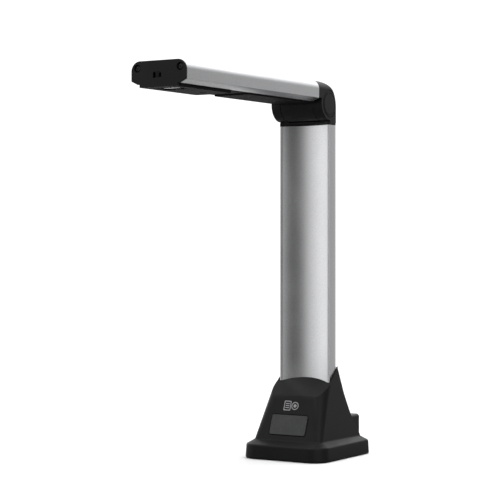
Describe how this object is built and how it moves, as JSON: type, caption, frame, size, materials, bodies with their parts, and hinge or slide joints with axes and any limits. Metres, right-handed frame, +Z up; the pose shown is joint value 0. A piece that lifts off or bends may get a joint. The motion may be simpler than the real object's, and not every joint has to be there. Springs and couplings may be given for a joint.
{
  "type": "document camera",
  "caption": "Desktop document camera: a folding camera arm hinged on an aluminium mast that stands in a weighted flared base.",
  "frame": {"origin": "on the table, under the middle of the base's footprint, on the underside of the rubber sole", "axes": "+Z up along the mast, -Y forwards along the camera arm, +X to the right seen from the front; the hinge axis runs along X"},
  "size_m": [0.0922, 0.3046, 0.37],
  "materials": {
    "anodised_aluminium": "bead-blasted satin anodised",
    "black_plastic": "fine-textured satin",
    "plate_black": "smooth satin",
    "badge_grey": "semi-gloss",
    "rubber": "matte",
    "steel": "zinc plated",
    "circuit_board": "solder mask",
    "window_glass": "clear",
    "washer_nylon": "plain",
    "cable_jacket": "plain"
  },
  "bodies": {
    "base": {"base_shell": "black_plastic", "badge_plate": "badge_grey", "rubber_sole": "rubber", "base_plate": "steel", "base_screw_1": "steel", "base_screw_2": "steel", "base_screw_3": "steel", "base_screw_4": "steel", "ballast_weight": "steel", "mast_foot": "steel", "foot_screw_left": "steel", "foot_screw_right": "steel", "port_housing": "black_plastic", "main_board": "circuit_board", "usb_socket": "steel", "mast_extrusion": "anodised_aluminium", "mast_head": "black_plastic", "head_screw_left": "steel", "head_screw_right": "steel", "mast_cable": "cable_jacket", "hinge_shaft": "steel", "spring_washer": "steel", "hinge_nut": "steel", "friction_washer_left": "washer_nylon", "friction_washer_right": "washer_nylon", "hinge_cover_left": "black_plastic", "hinge_cover_right": "black_plastic"},
    "arm": {"arm_extrusion": "anodised_aluminium", "arm_knuckle": "black_plastic", "front_cap": "black_plastic", "cap_screw_left": "steel", "cap_screw_right": "steel", "switch_body": "steel", "camera_plate": "plate_black", "lens_window": "window_glass", "camera_plate_screw": "steel", "rear_plate": "plate_black", "rear_plate_screw_1": "steel", "rear_plate_screw_2": "steel", "lamp_board": "circuit_board", "lens_barrel": "black_plastic", "camera_board": "circuit_board", "arm_cable": "cable_jacket"},
    "lamp_switch": {"switch_knob": "black_plastic"}
  },
  "joints": [
    {"name": "arm_hinge", "type": "hinge", "parent": "base", "child": "arm", "pos_m": [0, -0.0026, 0.348], "axis": [1, 0, 0], "range_deg": [0, 90]},
    {"name": "lamp_switch_slide", "type": "slide", "parent": "arm", "child": "lamp_switch", "axis": [1, 0, 0], "range_m": [-0.0024, 0.0024]}
  ]
}
